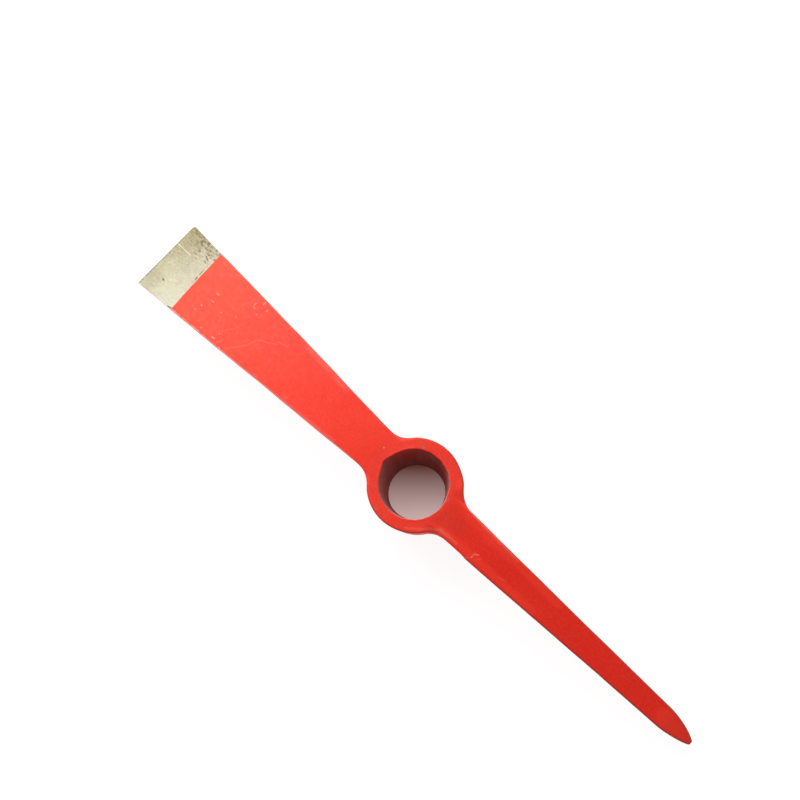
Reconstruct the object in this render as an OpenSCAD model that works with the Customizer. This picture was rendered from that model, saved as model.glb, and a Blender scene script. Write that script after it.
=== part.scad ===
// Head of a pick mattock, without its handle: a round eye that tapers like the swelled end of a
// handle, a broad blade with a bare ground edge, and a pick with a rounded point.
// Millimetres. The bore's axis is Z and the foot of the eye is at Z = 0. The blade reaches
// along -X and the pick along +X, and both drop towards the foot.

/* [Eye] */
// Height of the eye along its bore
eye_height = 55; // [45:1:70]
// Thickness of the eye's wall
eye_wall = 9; // [6:0.5:11]
// Diameter of the bore at its mouth, where the handle's swelled end sits
mouth_d = 50; // [46:0.5:56]
// Diameter of the bore at its throat, which the handle's grip passes
throat_d = 42; // [36:0.5:44]
// Length of the straight throat, from the foot up
throat_len = 14; // [8:1:20]
// Round on the inner edge of the mouth
mouth_round = 1; // [0.5:0.5:3]
// Round on the outer rims of the eye
rim_round = 1.5; // [1:0.5:4]
// Fillet from the eye's side to each arm's side
side_fillet = 18; // [12:1:24]
// Fillet from the eye's side to each arm's underside
under_fillet = 12; // [8:1:16]
// Angle by which the sides of both arms lean in towards their undersides
side_draft = 4; // [0:0.5:8]

/* [Blade] */
// Reach from the bore's axis to the cutting edge
blade_reach = 255; // [210:1:290]
// Length of the root that belongs to the eye, from the eye's side
blade_root_len = 13; // [10:1:25]
// Width at the eye, before the fillets
blade_neck_w = 32.5; // [26:0.5:40]
// Width at the cutting edge
blade_edge_w = 60; // [44:0.5:80]
// Thickness at the eye, before the fillet
blade_neck_t = 22; // [16:0.5:28]
// Thickness at the cutting edge, before it is bevelled
blade_edge_t = 3.5; // [2.5:0.5:6]
// Drop from the eye's face to the top of the cutting edge
blade_drop = 30; // [10:1:60]
// Power of the blade's top line: 1 is straight and 2 a parabola
blade_power = 1.9; // [1.2:0.05:2.5]
// Round on the blade's long edges
blade_round = 1.25; // [1:0.25:4]
// Length of the bare ground steel, from the cutting edge
bare_len = 33; // [15:1:45]
// Length of the bevel ground under the cutting edge
bevel_len = 9; // [4:1:14]
// Thickness left at the cutting edge
edge_land = 0.8; // [0.4:0.1:2]
// How far one corner of the hand-ground edge reaches past the other
edge_skew = 0.4; // [0:0.2:4]

/* [Pick] */
// Reach from the bore's axis to the tip
pick_reach = 263; // [220:1:310]
// Length of the root that belongs to the eye, from the eye's side
pick_root_len = 27; // [10:1:40]
// Width at the eye, before the fillets
pick_root_w = 27; // [22:0.5:36]
// Width where the point starts
pick_nose_w = 16.6; // [12:0.2:22]
// Thickness at the eye, before the fillet
pick_root_t = 29; // [20:0.5:34]
// Thickness where the point starts
pick_nose_t = 12; // [8:0.5:18]
// Drop from the eye's face to the top of the pick where the point starts
pick_drop = 32; // [10:1:50]
// Level rim left between the bore's mouth and the pick's slope
pick_rim = 1; // [0.5:0.5:4]
// Power of the pick's top line: 1 is straight and 2 a parabola
pick_power = 1.1; // [1.05:0.05:2]
// Round on the pick's long edges
pick_round = 2; // [1:0.5:6]
// Length of the point
point_len = 30; // [18:1:45]
// Width and thickness of the blunt tip
tip_size = 1.8; // [1:0.2:4]

/* [Hidden] */
$fn = 96;

paint_red = "#d9352a";
bare_steel = "#b5b29a";

// Radii of the eye's outside, at its foot and at its face.
foot_r = throat_d / 2 + eye_wall;
face_r = mouth_d / 2 + eye_wall;

// The arms' roots lie this far below the eye's face, which stays one flat ring.
flush = 0.1;
// The eye is cut this far below the pick's slope, so that the pick's own top shows there.
slope_cut = 0.3;
// The arms' fillets run this far into the eye, so that they cross its side at a clear angle.
bite = 1.2;
// Length of a root past its fillets, in the eye's wall.
root_sink = 4;
// A fillet's arc stops at this share of its radius, just before it turns upright.
arc_share = 0.95;
// Room past a face for a cut that goes right through it.
through = 1;
// A rounded edge takes at most this share of the thickness that it is on.
round_share = 0.45;
// Steps along a rounded edge, along the cut for the pick's slope, and along each lofted stretch.
corner_steps = 5;
slope_steps = 4;
root_steps = 14;
arm_steps = 26;
end_steps = 16;
// Powers of the sine that shape the point in plan and from the side.
point_plan = 0.72;
point_side = 0.8;
// Share of the point's taper that is taken off its top.
point_top_share = 0.4;

// Places along each arm, measured out from the bore's axis.
blade_joint = face_r + blade_root_len;
bare_start = blade_reach - bare_len;
bevel_start = blade_reach - bevel_len;
slope_start = mouth_d / 2 + mouth_round + pick_rim;
pick_joint = face_r + pick_root_len;
point_start = pick_reach - point_len;

// Value at x on the straight line through (x0, v0) and (x1, v1).
function line(x, x0, v0, x1, v1) = v0 + (v1 - v0) * (x - x0) / (x1 - x0);

// Numbers from a to b in n equal steps.
function steps(a, b, n) = [for (i = [0:n]) a + (b - a) * i / n];

// Radius of the eye's tapered outside at height z.
function eye_r(z) = line(z, 0, foot_r, eye_height, face_r);

// Rise of a concave arc of radius r, a distance d in from where it leaves the flat.
function arc_rise(d, r) = d <= 0 ? 0 : r - sqrt(r * r - pow(min(d, arc_share * r), 2));

// What the fillet adds to an arm's half width at x, where the eye's side has the height z.
function side_flare(x, half_w, z) =
    let (
        apart = eye_r(z) + side_fillet - bite,
        starts = sqrt(pow(apart, 2) - pow(half_w + side_fillet, 2))
    )
    arc_rise(starts - x, side_fillet);

// What the fillet adds below an arm's underside at x, where the eye's side has the height z.
function under_flare(x, z) = arc_rise(eye_r(z) + under_fillet - bite - x, under_fillet);

// Height of an arm's top line at x: level up to x0, then a power curve down to the drop at x1.
function top_line(x, x0, x1, drop, power) =
    let (along = max(0, x - x0) / (x1 - x0))
    eye_height - flush - (drop - flush) * pow(along, power);

// Half width of an arm this far below its top, where its half width is half_w.
function drafted(half_w, depth) = half_w - depth * tan(side_draft);

// One ring of a loft, at x: a box from z0 up to z1 whose half width runs from w0 to w1, with
// rounded edges. Each point is carried out along X by skew times its own Y.
function ring(x, w0, w1, z0, z1, rounding, skew = 0) =
    let (
        r = min(rounding, round_share * (z1 - z0), round_share * 2 * min(w0, w1)),
        centres = [[w1 - r, z1 - r], [r - w1, z1 - r], [r - w0, z0 + r], [w0 - r, z0 + r]]
    )
    [
        for (i = [0:3], a = steps(90 * i, 90 * i + 90, corner_steps))
            let (y = centres[i][0] + r * cos(a), z = centres[i][1] + r * sin(a))
            [x + skew * y, y, z]
    ];

// Share of the eye's roundness that a root's ring has at x: all at the eye and none at the joint.
function bow_share(x, joint) =
    let (t = min(1, (joint - x) / (joint - face_r)))
    t * t * (3 - 2 * t);

// A ring of an arm at x, with the fillets that join it to the eye. At a bow of 1 it bends round the
// bore's axis and leans in like the eye's side, with its upper side edges still at x, and at 0 it is
// flat. The whole ring follows the top line, which is a function of x.
function arm_ring(x, half_w, top, thick, rounding, bow) =
    let (
        w1 = half_w + side_flare(x, half_w, top(x)),
        reach = function (z) norm([x, w1]) - eye_r(top(x)) + eye_r(z),
        under = top(x) - thick,
        low = under - under_flare(x + bow * (reach(under) - x), under),
        low_half = drafted(half_w, thick),
        w0 = low_half + side_flare(x, low_half, low)
    )
    [
        for (p = ring(x, w0, w1, low, top(x), rounding))
            let (bent = x + bow * (sqrt(pow(reach(p.z), 2) - p.y * p.y) - x))
            [bent, p.y, p.z + top(bent) - top(x)]
    ];

// The blade's half width, top and thickness at x.
function blade_half(x) = line(x, face_r, blade_neck_w, blade_reach, blade_edge_w) / 2;
blade_top = function (x) top_line(x, face_r, blade_reach, blade_drop, blade_power);
function blade_thick(x) = line(x, face_r, blade_neck_t, blade_reach, blade_edge_t);
function blade_ring(x, bow = 0) =
    arm_ring(x, blade_half(x), blade_top, blade_thick(x), blade_round, bow);

// A ring of the bare steel at x. The bevel comes off its underside, and the skew grows along it.
function bare_ring(x) =
    let (
        half_w = blade_half(x),
        top = blade_top(x),
        bevel = max(0, line(x, bevel_start, 0, blade_reach, blade_edge_t - edge_land)),
        thick = blade_thick(x) - bevel,
        skew = line(x, bare_start, 0, blade_reach, edge_skew / blade_edge_w)
    )
    ring(x, drafted(half_w, thick), half_w, top - thick, top, blade_round, skew);

// The pick's half width, top and thickness at x.
function pick_half(x) = line(x, face_r, pick_root_w, point_start, pick_nose_w) / 2;
pick_top = function (x) top_line(x, slope_start, point_start, pick_drop, pick_power);
function pick_thick(x) = line(x, face_r, pick_root_t, point_start, pick_nose_t);
function pick_ring(x, bow = 0) =
    arm_ring(x, pick_half(x), pick_top, pick_thick(x), pick_round, bow);

// A ring of the point, a share q of its length short of the tip. Width and thickness follow powers
// of a sine, so the point starts straight on from the arm and rounds in to a blunt tip.
function point_ring(q) =
    let (
        x = pick_reach - q * point_len,
        half_w = line(pow(sin(90 * q), point_plan), 0, tip_size, 1, pick_nose_w) / 2,
        thick = line(pow(sin(90 * q), point_side), 0, tip_size, 1, pick_nose_t),
        top = pick_top(x) - point_top_share * (pick_nose_t - thick)
    )
    ring(x, drafted(half_w, thick), half_w, top - thick, top, pick_round);

// The inner edge of the mouth, rounded over from the bore's taper to the eye's face.
function mouth_edge() =
    [for (a = steps(180, 90, corner_steps))
        [mouth_d / 2 + mouth_round * (1 + cos(a)), eye_height - mouth_round * (1 - sin(a))]];

// An outer rim of the eye at height z, rounded between the angles a0 and a1.
function outer_rim(z, a0, a1) =
    let (up = z > 0 ? -1 : 1)
    [for (a = steps(a0, a1, corner_steps))
        [eye_r(z) - rim_round * (1 - cos(a)), z + up * rim_round + rim_round * sin(a)]];

// A closed solid through rings that have as many points each, in order along +X.
module loft(rings) {
    n = len(rings[0]);
    last = len(rings) - 1;
    sides = [
        for (i = [0:last - 1], j = [0:n - 1])
            let (a = i * n + j, b = i * n + (j + 1) % n)
            each [[a, a + n, b + n], [a, b + n, b]]
    ];
    start_cap = [for (j = [0:n - 1]) j];
    end_cap = [for (j = [n - 1:-1:0]) last * n + j];
    polyhedron([for (r = rings) each r], concat([start_cap, end_cap], sides));
}

// The tapered ring of the eye, before it is bored.
module eye_body()
    rotate_extrude()
        polygon(concat([[0, 0]], outer_rim(0, -90, 0), outer_rim(eye_height, 0, 90), [[0, eye_height]]));

// What the pick's slope takes off the eye's face, on the pick's side of the bore.
module pick_slope() {
    over = face_r + through;
    cut_line = [for (x = steps(slope_start, over, slope_steps)) [x, pick_top(x) - slope_cut]];
    rotate([90, 0, 0])
        linear_extrude(2 * over, center = true)
            polygon(concat(cut_line, [[over, eye_height + through], [slope_start, eye_height + through]]));
}

// The bore: a straight throat, then a taper that opens to the rounded mouth.
module eye_bore()
    rotate_extrude()
        polygon(concat(
            [[0, -through], [throat_d / 2, -through], [throat_d / 2, throat_len]],
            mouth_edge(),
            [[mouth_d / 2 + mouth_round, eye_height + through], [0, eye_height + through]]
        ));

// Where the fillets of an arm of this half width end, inside the eye's wall.
function root_start(half_w) =
    let (apart = face_r + side_fillet - bite)
    (face_r - bite) * sqrt(1 - pow((half_w + side_fillet) / apart, 2));

// A root's rings, with a flat one before them that carries the first straight into the wall.
function sunk(rings) =
    let (start = min([for (p = rings[0]) p.x]) - root_sink)
    concat([[for (p = rings[0]) [start, p.y, p.z]]], rings);

module blade_root()
    loft(sunk([
        for (x = steps(root_start(blade_neck_w / 2), blade_joint, root_steps))
            blade_ring(x, bow_share(x, blade_joint))
    ]));

module pick_root()
    loft(sunk([
        for (x = steps(root_start(pick_root_w / 2), pick_joint, root_steps))
            pick_ring(x, bow_share(x, pick_joint))
    ]));

module eye()
    color(paint_red)
        difference() {
            union() {
                difference() {
                    eye_body();
                    pick_slope();
                }
                rotate([0, 0, 180]) blade_root();
                pick_root();
            }
            eye_bore();
        }

module blade()
    color(paint_red)
        rotate([0, 0, 180])
            loft([for (x = steps(blade_joint, bare_start, arm_steps)) blade_ring(x)]);

module cutting_edge()
    color(bare_steel)
        rotate([0, 0, 180])
            loft([
                for (x = concat(
                    steps(bare_start, bevel_start, end_steps / 2),
                    [blade_reach]
                )) bare_ring(x)
            ]);

module pick_arm()
    color(paint_red)
        loft([for (x = steps(pick_joint, point_start, arm_steps)) pick_ring(x)]);

// The rings crowd towards the tip, where the point rounds in fastest.
module pick_point()
    color(paint_red)
        loft([for (s = steps(1, 0, end_steps)) point_ring(s * s)]);

eye();
blade();
cutting_edge();
pick_arm();
pick_point();
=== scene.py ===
import math
from functools import partial

import bpy
import numpy as np
from bpy.props import FloatProperty, FloatVectorProperty, PointerProperty
from mathutils import Matrix, Vector


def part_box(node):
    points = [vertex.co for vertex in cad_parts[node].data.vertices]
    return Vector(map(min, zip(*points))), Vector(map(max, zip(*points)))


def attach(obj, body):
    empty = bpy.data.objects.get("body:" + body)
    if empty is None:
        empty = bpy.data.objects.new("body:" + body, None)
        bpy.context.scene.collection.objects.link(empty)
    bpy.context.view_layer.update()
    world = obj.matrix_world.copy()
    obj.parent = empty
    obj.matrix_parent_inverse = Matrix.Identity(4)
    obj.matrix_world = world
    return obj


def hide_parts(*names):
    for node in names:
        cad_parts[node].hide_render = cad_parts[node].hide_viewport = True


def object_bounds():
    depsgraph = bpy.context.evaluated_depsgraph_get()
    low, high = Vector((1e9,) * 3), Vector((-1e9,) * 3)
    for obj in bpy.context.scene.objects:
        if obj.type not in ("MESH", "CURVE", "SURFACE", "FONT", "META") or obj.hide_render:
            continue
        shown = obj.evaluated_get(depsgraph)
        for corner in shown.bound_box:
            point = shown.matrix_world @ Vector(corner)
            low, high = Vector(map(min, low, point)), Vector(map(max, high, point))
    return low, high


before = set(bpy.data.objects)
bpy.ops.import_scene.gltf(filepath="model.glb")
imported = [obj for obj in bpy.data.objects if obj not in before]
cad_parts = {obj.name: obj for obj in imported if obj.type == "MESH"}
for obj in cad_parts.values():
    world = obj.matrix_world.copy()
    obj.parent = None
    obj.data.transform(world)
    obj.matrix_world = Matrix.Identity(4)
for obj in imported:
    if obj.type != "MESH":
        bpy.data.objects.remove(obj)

bl_info = {
    "name": "Pick mattock head",
    "version": (1, 0, 0),
    "blender": (4, 5, 0),
    "location": "View3D > Sidebar > Mattock",
    "description": "Dresses the CAD frame of a forged pick mattock head in enamel and ground steel",
    "category": "Mesh",
}

MM = 0.001
CAD_BOX = [list(corner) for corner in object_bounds()]
EYE_BOX, EDGE_BOX, POINT_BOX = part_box("eye"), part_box("cutting_edge"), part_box("pick_point")


def linear(code):
    """Turns an sRGB hex colour into the linear red, green and blue that Blender's sockets take."""
    parts = np.array([int(code[i:i + 2], 16) for i in (1, 3, 5)]) / 255.0
    return tuple(np.where(parts <= 0.04045, parts / 12.92, ((parts + 0.055) / 1.055) ** 2.4))


def length(name, description, default):
    """A size in metres, as the add-on's panel shows it."""
    return FloatProperty(name=name, description=description, default=default, min=0.0,
                         unit="LENGTH", precision=5)


def colour(name, description, code):
    """A colour that a user may change, given as an sRGB hex value."""
    return FloatVectorProperty(name=name, description=description, default=linear(code), size=3,
                               min=0.0, max=1.0, subtype="COLOR")


class EyeSizes(bpy.types.PropertyGroup):
    """Sizes of the tapered ring round the bore."""
    height: length("Height", "Height of the eye along its bore", EYE_BOX[1].z)
    foot_radius: length("Foot radius", "Outer radius at the foot", 30.0 * MM)
    face_radius: length("Face radius", "Outer radius at the face", 34.0 * MM)
    throat_radius: length("Throat radius", "Radius of the bore's straight throat", 21.0 * MM)
    throat_length: length("Throat length", "Length of the throat from the foot up", 14.0 * MM)
    mouth_radius: length("Mouth radius", "Radius of the bore at its mouth", 25.0 * MM)
    mouth_round: length("Mouth round", "Round on the inner edge of the mouth", 0.6 * MM)
    rim_round: length("Rim round", "Round on the outer rims", 1.3 * MM)
    side_fillet: length("Side fillet", "Fillet from the eye's side to an arm's side", 18.0 * MM)
    shift: length("Shift", "How far the forged outside lies off the bore, towards the pick", 0.8 * MM)
    draft: FloatProperty(name="Draft", description="Lean of the arms' sides towards their undersides",
                         default=math.radians(4.0), min=0.0, subtype="ANGLE")


class BladeSizes(bpy.types.PropertyGroup):
    """Sizes of the broad arm and its ground edge."""
    joint: length("Joint", "Distance from the bore's axis to the line across the neck", -EYE_BOX[0].x)
    bare_start: length("Bare start", "Distance from the bore's axis to the edge of the paint", -EDGE_BOX[1].x)
    reach: length("Reach", "Distance from the bore's axis to the cutting edge", 255.0 * MM)
    sway: length("Sway", "How far the cutting edge lies to one side", 1.5 * MM)
    neck_width: length("Neck width", "Width at the eye, before the fillets", 32.5 * MM)
    edge_width: length("Edge width", "Width at the cutting edge", 60.0 * MM)
    neck_thickness: length("Neck thickness", "Thickness at the eye", 22.0 * MM)
    edge_thickness: length("Edge thickness", "Thickness at the cutting edge before its bevel", 3.5 * MM)
    drop: length("Drop", "Drop from the eye's face to the top of the cutting edge", 30.0 * MM)
    bend: FloatProperty(name="Bend", description="Power of the top line's curve", default=1.9, min=1.0)
    edge_round: length("Edge round", "Round on the long edges", 1.1 * MM)
    ground_round: length("Ground round", "Round on the long edges of the ground steel", 0.4 * MM)
    crown: length("Crown", "Fall of the top from its middle to its long edges", 0.25 * MM)
    bevel: length("Bevel", "Length of the bevel ground under the cutting edge", 9.0 * MM)
    land: length("Land", "Thickness left at the cutting edge", 0.8 * MM)
    skew: length("Skew", "How far one corner of the edge reaches past the other", 0.4 * MM)
    worn_corner: length("Worn corner", "Round on the more worn corner of the cutting edge", 2.0 * MM)
    paint_skew: length("Paint skew", "How far the paint's edge at one side lies past that at the other",
                       1.4 * MM)
    paint: length("Paint", "Step from the paint down to the ground steel", 0.12 * MM)


class PickSizes(bpy.types.PropertyGroup):
    """Sizes of the narrow arm and its point."""
    joint: length("Joint", "Distance from the bore's axis to the line across the root", EYE_BOX[1].x)
    slope_start: length("Slope start", "Distance from the bore's axis to the start of the slope", 27.0 * MM)
    point_start: length("Point start", "Distance from the bore's axis to the start of the point",
                        POINT_BOX[0].x)
    reach: length("Reach", "Distance from the bore's axis to the tip", POINT_BOX[1].x)
    sway: length("Sway", "How far the tip lies to one side", 2.4 * MM)
    root_width: length("Root width", "Width at the eye, before the fillets", 27.0 * MM)
    nose_width: length("Nose width", "Width where the point starts", 16.6 * MM)
    root_thickness: length("Root thickness", "Thickness at the eye", 29.0 * MM)
    nose_thickness: length("Nose thickness", "Thickness where the point starts", 12.0 * MM)
    drop: length("Drop", "Drop from the eye's face to the start of the point", 32.0 * MM)
    bend: FloatProperty(name="Bend", description="Power of the top line's curve", default=1.1, min=1.0)
    edge_round: length("Edge round", "Round on the long edges", 1.4 * MM)
    root_round: length("Root round", "Breadth of the rounded upper edges near the eye", 2.6 * MM)
    shoulder: length("Shoulder", "How far the root stands out on one side", 0.6 * MM)
    fullness: length("Fullness", "How far the arm stands out on that side, just past the root", 1.3 * MM)
    hook: length("Hook", "How far the tip bends back from the arm's line", 0.6 * MM)
    tip: length("Tip", "Width and thickness of the blunt tip", 2.6 * MM)


class ForgeMarks(bpy.types.PropertyGroup):
    """How uneven the hammered surfaces are."""
    broad_wave: length("Broad wave", "Breadth of the hammer's broad hollows", 26.0 * MM)
    broad_depth: length("Broad depth", "Height of the hammer's broad hollows", 0.22 * MM)
    small_wave: length("Small wave", "Breadth of the scale's small dents", 8.0 * MM)
    small_depth: length("Small depth", "Height of the scale's small dents", 0.05 * MM)


class HeadFinish(bpy.types.PropertyGroup):
    """Colours of the enamel and the steel."""
    enamel: colour("Enamel", "Red enamel", "#F63B1C")
    # Also laid deeper over the pick as painted shade.
    enamel_deep: colour("Deep enamel", "Enamel where it has run thick", "#EA1C0C")
    # Painted sheen: this orange stands in for the lit look of the blade's end.
    enamel_end_sheen: colour("Worn enamel", "Enamel that has faded towards orange", "#F54108")
    # Painted highlight on the pick's rounded flanks and near its tip.
    enamel_flank_sheen: colour("Bright enamel", "Enamel on the pick's rounded flanks", "#FF3A24")
    # Also the colour of painted highlights on the enamel.
    enamel_pale: colour("Scuffed enamel", "Enamel that is scuffed and chalky", "#F7A79C")
    overspray: colour("Overspray", "Enamel that drifted into the bore", "#AE332B")
    chip: colour("Chip", "Steel that shows where the enamel is chipped", "#857266")
    steel: colour("Ground steel", "Bare steel of the cutting edge", "#A49D7D")
    steel_dull: colour("Dull steel", "Bare steel that has yellowed", "#8B8262")
    # Also the painted reflection and painted highlight on the ground steel.
    steel_bright: colour("Bright steel", "Bare steel that is rubbed or scratched bright", "#E6E4DA")
    steel_dark: colour("Stained steel", "Pits and stains on the bare steel", "#5C2C12")
    # Also the colour of painted shade on the enamel.
    scale: colour("Forge scale", "Scale on the wall of the bore", "#7C3D38")
    # Also the painted light on one side of the bore's wall.
    rust: colour("Rusted scale", "Lighter rust on the wall of the bore", "#CF8B85")


class StageSettings(bpy.types.PropertyGroup):
    """Floor, lights and camera."""
    floor: colour("Floor", "Pale sheet that the head stands on", "#E6E6E6")
    floor_shade: colour("Floor shade", "Share of the sheet's shadow that is seen", "#747474")
    floor_lift: colour("Floor lift", "White that the sheet shows by itself", "#F4F4F4")
    # Painted shadow and painted light bounced off the wall, on the sheet in the bore.
    bore_near: colour("Bore near", "Glow of the sheet in the bore, under the lamp's side", "#4E241F")
    bore_far: colour("Bore far", "Glow of the sheet in the bore, on the side that the lamp reaches",
                     "#BEA5A2")
    walls: FloatProperty(name="Walls", description="Strength of the light from the walls",
                         default=0.66, min=0.0)
    overhead: FloatProperty(name="Overhead", description="Strength of the light from overhead",
                            default=0.28, min=0.0)
    key: FloatProperty(name="Key", description="Power of the large soft lamp", default=55.0, min=0.0,
                       unit="POWER")
    key_size: length("Key size", "Diameter of the large soft lamp", 2.2)
    key_far: length("Key distance", "Distance of the large soft lamp from the head", 1.9)
    key_turn: FloatProperty(name="Key direction", description="Direction of the lamp in plan",
                            default=math.radians(160.0), subtype="ANGLE")
    key_height: FloatProperty(name="Key height", description="Angle of the lamp above the floor",
                              default=math.radians(34.0), subtype="ANGLE")
    camera_place: FloatVectorProperty(name="Camera", description="Place of the camera", size=3,
                                      default=(0.156422, -0.079676, 1.343037), subtype="TRANSLATION")
    camera_right: FloatVectorProperty(name="Camera right", description="Direction to the picture's right",
                                      size=3, default=(0.72591, 0.68572, -0.05322), subtype="DIRECTION")
    camera_up: FloatVectorProperty(name="Camera up", description="Direction to the picture's top",
                                   size=3, default=(-0.66980, 0.72239, 0.17184), subtype="DIRECTION")
    lens: FloatProperty(name="Lens", description="Focal length in millimetres on a 36 mm sensor",
                        default=83.247, min=1.0)


# Sizes of the forms that stay as they are. Places along an arm are measured from the bore's axis,
# and heights from the foot.

# How far the arms' tops, the eye's face and the eye's side lie inside those of the CAD model.
ARM_STEP, FACE_STEP, SIDE_STEP = 0.1 * MM, 0.15 * MM, 0.05 * MM
# The run in which the blade's long edges turn crisp past the paint, and that in which its rows turn
# askew.
CRISP_RUN, SKEW_RUN = 6.0 * MM, 40.0 * MM
# The round of the cutting edge's less worn corner, as a share of the other's.
LESS_WORN = 0.3
# Where the pick's fullness takes over from its shoulder and in what run, and where it ends after
# what fade.
FULL_START, FULL_RUN, FULL_END, FULL_FADE = 57.0 * MM, 6.0 * MM, 175.0 * MM, 115.0 * MM
# Where the pick's broad rounds start to stand up and in what run, where they end after what fade,
# and their height as a share of their breadth.
ROUND_START, ROUND_RUN, ROUND_END, ROUND_FADE = 38.0 * MM, 30.0 * MM, 140.0 * MM, 90.0 * MM
ROUND_RISE = 0.6
# Powers of the point's width and thickness, and the share of the lost thickness by which its top
# falls.
WIDTH_POWER, THICKNESS_POWER, TOP_SHARE = 0.72, 0.8, 0.4
# The radius round the bore without hammer marks, and the runs in which they set in, outwards and up
# from the foot.
TRUE_RADIUS, TRUE_FADE, FOOT_FADE = 24.8 * MM, 3.0 * MM, 5.0 * MM
# Cells along a side of the random lattice of the hammer marks, and the seeds of the broad and the
# small ones.
LATTICE, BROAD_SEED, SMALL_SEED = 32, 11, 12
# The mouth's waves: height in millimetres, number in a turn and phase. They start at this height,
# in this run.
MOUTH_WAVES = ((0.06, 9, 1.0), (0.06, 17, 2.1), (0.07, 31, 0.4))
WAVE_START, WAVE_RUN = 40.0 * MM, 14.0 * MM
# The mouth's knock and the outside's swells: height in millimetres, and middle and breadth in
# degrees. The swells rise from the foot in this run.
KNOCK, SWELLS = (2.0, 184.0, 11.0), ((1.0, 39.0, 20.0), (0.4, -38.0, 18.0))
SWELL_RUN = 20.0 * MM
# The radius at which an arm's top meets the eye's face, and the shortest fillet.
PICK_MEET, BLADE_MEET, LEAST_FILLET = 28.6 * MM, 31.0 * MM, 3.0 * MM
# Rows of points along the pieces and the fillets, columns between the arms, and how many cells and
# rounds of easing smooth the fillets' borders.
BLADE_ROWS, EDGE_ROWS, PICK_ROWS, POINT_ROWS, FILLET_ROWS = 190, 80, 200, 70, 16
GAP_COLUMNS, SOFT_CELLS, SOFT_ROUNDS = 90, 7.0, 24
# Half the floor's width, in metres.
FLOOR_HALF = 12.0


def ease(t):
    """Smooth step: 0 up to 0, 1 from 1 on, and 3 t^2 - 2 t^3 between them."""
    t = np.clip(t, 0.0, 1.0)
    return t * t * (3.0 - 2.0 * t)


def line(x, x0, v0, x1, v1):
    """Value at x on the straight line through (x0, v0) and (x1, v1)."""
    return v0 + (v1 - v0) * (x - x0) / (x1 - x0)


def top_line(eye, x, start, end, drop, bend):
    """Height of an arm's top: level, a step under the eye's face, up to start, then a power curve
    down to drop at end."""
    along = np.maximum(0.0, x - start) / (end - start)
    return eye.height - ARM_STEP - (drop - ARM_STEP) * along ** bend


def section_loop(arc, shoulder, across, down):
    """Order of the points round an arm's section, from the middle of its upper left edge over the
    top, down the right side, back along the underside and up the left side. A row says which corner
    the point hangs on, from -1 to 1 across and up, and the direction in which the corner's round
    carries it out."""
    def turn(side, level, start, stop, count):
        angle = np.radians(np.linspace(start, stop, count, endpoint=False))
        return np.stack([np.full(count, side), np.full(count, level), np.cos(angle), np.sin(angle)], 1)

    def run(begin, end, out, count):
        t = np.linspace(0.0, 1.0, count, endpoint=False)[:, None]
        return np.hstack([(1 - t) * np.array(begin) + t * np.array(end), np.tile(out, (count, 1))])

    return np.vstack([
        turn(-1.0, 1.0, 135, 90, arc), run((-1, 1), (1, 1), (0.0, 1.0), across), turn(1.0, 1.0, 90, 45, arc),
        turn(1.0, 1.0, 45, 0, shoulder), run((1, 1), (1, -1), (1.0, 0.0), down), turn(1.0, -1.0, 0, -45, arc),
        turn(1.0, -1.0, -45, -90, arc), run((1, -1), (-1, -1), (0.0, -1.0), across),
        turn(-1.0, -1.0, -90, -135, arc), turn(-1.0, -1.0, -135, -180, arc),
        run((-1, -1), (-1, 1), (-1.0, 0.0), down), turn(-1.0, 1.0, 180, 135, shoulder)])


def roundness(loop):
    """1 in the middle of a section's rounded corners and 0 on its flats: the sine of twice the
    corner's angle."""
    return np.abs(2.0 * loop[:, 2] * loop[:, 3])


# Points on half a corner of a section, and on half an upper outer one. Then points from the middle
# of an upper corner down to that of the lower one, and across the top.
CORNER_ARC, SHOULDER_ARC = 5, 10
PICK_DOWN, BLADE_DOWN = 55, 45
PICK_ACROSS, BLADE_ACROSS = 26, 44
PICK_LOOP = section_loop(CORNER_ARC, SHOULDER_ARC, PICK_ACROSS, PICK_DOWN - CORNER_ARC - SHOULDER_ARC)
BLADE_LOOP = section_loop(CORNER_ARC, SHOULDER_ARC, BLADE_ACROSS, BLADE_DOWN - CORNER_ARC - SHOULDER_ARC)


def section(loop, x, half, top, thick, rounds, crown, draft, sway):
    """Points of an arm's section at x: a box of the half width and the thickness, moved sideways by
    sway, whose sides lean in by draft towards the underside. Its upper edges are quarter ellipses,
    broad by tall, and its lower edges are rounds of low. Top and underside fall by crown from the
    middle to the long edges, as a parabola."""
    side, level, out_y, out_z = loop.T
    broad, tall, low = rounds
    upper = (level + 1.0) / 2.0
    half = half - (1.0 - upper) * thick * math.tan(draft)
    round_y = np.minimum(low + (broad - low) * upper, 0.9 * half)
    round_z = np.minimum(low + (tall - low) * upper, 0.45 * thick)
    y = side * (half - round_y) + round_y * out_y + sway
    z = top - thick / 2.0 + level * (thick / 2.0 - round_z) + round_z * out_z - crown * level * side ** 2
    return np.stack([np.broadcast_to(x, y.shape), y, z], -1)


def swayed(arm, x):
    """How far an arm lies to one side at x: its sway times x's share of its reach, to the power
    of 1.5."""
    return arm.sway * (x / arm.reach) ** 1.5


def blade_section(eye, blade, loop, x):
    """The blade's section: it widens and thins in straight lines from the eye to the cutting edge,
    and its long edges are crisper past the paint, where it is ground."""
    half = line(x, eye.face_radius, blade.neck_width, blade.reach, blade.edge_width) / 2.0
    thick = line(x, eye.face_radius, blade.neck_thickness, blade.reach, blade.edge_thickness)
    top = top_line(eye, x, eye.face_radius, blade.reach, blade.drop, blade.bend)
    ground = ease((x - blade.bare_start) / CRISP_RUN)
    rounding = blade.edge_round + (blade.ground_round - blade.edge_round) * ground
    return section(loop, x, half, top, thick, 3 * [rounding], blade.crown, eye.draft, -swayed(blade, x))


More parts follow.
